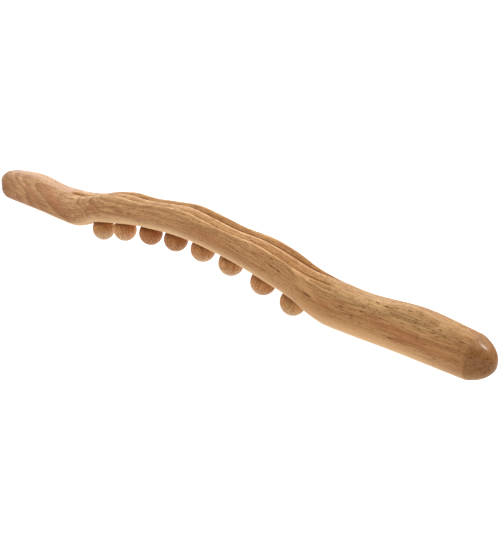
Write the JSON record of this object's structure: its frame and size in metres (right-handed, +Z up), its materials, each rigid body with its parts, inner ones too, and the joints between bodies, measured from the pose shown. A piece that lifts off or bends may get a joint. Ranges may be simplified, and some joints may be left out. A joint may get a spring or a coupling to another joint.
{
  "type": "wooden roller massage stick",
  "caption": "Long two-handled beech massage stick with an arched, ridged middle and a row of round beads that turn under the arch.",
  "frame": {"origin": "midway along and across the stick, in the plane that the two lowest beads touch", "axes": "+X along the stick, +Y across it, +Z up from the beads to the ridged back"},
  "size_m": [0.5314, 0.026, 0.0549],
  "materials": {
    "bar_beech": "clear satin varnish on sanded beech, grain along the stick",
    "bead_beech": "clear satin varnish on turned beech",
    "plug_beech": "clear satin varnish on end-grain beech",
    "steel": "zinc-plated, turned"
  },
  "bodies": {
    "stick": {"stick_body": "bar_beech", "shoulder_screw_1": "steel", "shoulder_screw_2": "steel", "shoulder_screw_3": "steel", "shoulder_screw_4": "steel", "shoulder_screw_5": "steel", "shoulder_screw_6": "steel", "shoulder_screw_7": "steel", "shoulder_screw_8": "steel", "washer_1": "steel", "washer_2": "steel", "washer_3": "steel", "washer_4": "steel", "washer_5": "steel", "washer_6": "steel", "washer_7": "steel", "washer_8": "steel"},
    "roller_1": {"bead_1": "bead_beech", "bead_plug_1": "plug_beech"},
    "roller_2": {"bead_2": "bead_beech", "bead_plug_2": "plug_beech"},
    "roller_3": {"bead_3": "bead_beech", "bead_plug_3": "plug_beech"},
    "roller_4": {"bead_4": "bead_beech", "bead_plug_4": "plug_beech"},
    "roller_5": {"bead_5": "bead_beech", "bead_plug_5": "plug_beech"},
    "roller_6": {"bead_6": "bead_beech", "bead_plug_6": "plug_beech"},
    "roller_7": {"bead_7": "bead_beech", "bead_plug_7": "plug_beech"},
    "roller_8": {"bead_8": "bead_beech", "bead_plug_8": "plug_beech"}
  },
  "joints": [
    {"name": "roller_1_spin", "type": "hinge", "parent": "stick", "child": "roller_1", "pos_m": [-0.10906, 0, 0.00997], "axis": [-0.2808, 0, 0.9598], "continuous": true},
    {"name": "roller_2_spin", "type": "hinge", "parent": "stick", "child": "roller_2", "pos_m": [-0.07968, 0, 0.01653], "axis": [-0.1908, 0, 0.9816], "continuous": true},
    {"name": "roller_3_spin", "type": "hinge", "parent": "stick", "child": "roller_3", "pos_m": [-0.04628, 0, 0.02185], "axis": [-0.1041, 0, 0.9946], "continuous": true},
    {"name": "roller_4_spin", "type": "hinge", "parent": "stick", "child": "roller_4", "pos_m": [-0.01561, 0, 0.02453], "axis": [-0.0564, 0, 0.9984], "continuous": true},
    {"name": "roller_5_spin", "type": "hinge", "parent": "stick", "child": "roller_5", "pos_m": [0.01561, 0, 0.02453], "axis": [0.0564, 0, 0.9984], "continuous": true},
    {"name": "roller_6_spin", "type": "hinge", "parent": "stick", "child": "roller_6", "pos_m": [0.04628, 0, 0.02185], "axis": [0.1041, 0, 0.9946], "continuous": true},
    {"name": "roller_7_spin", "type": "hinge", "parent": "stick", "child": "roller_7", "pos_m": [0.07968, 0, 0.01653], "axis": [0.1908, 0, 0.9816], "continuous": true},
    {"name": "roller_8_spin", "type": "hinge", "parent": "stick", "child": "roller_8", "pos_m": [0.10906, 0, 0.00997], "axis": [0.2808, 0, 0.9598], "continuous": true}
  ]
}
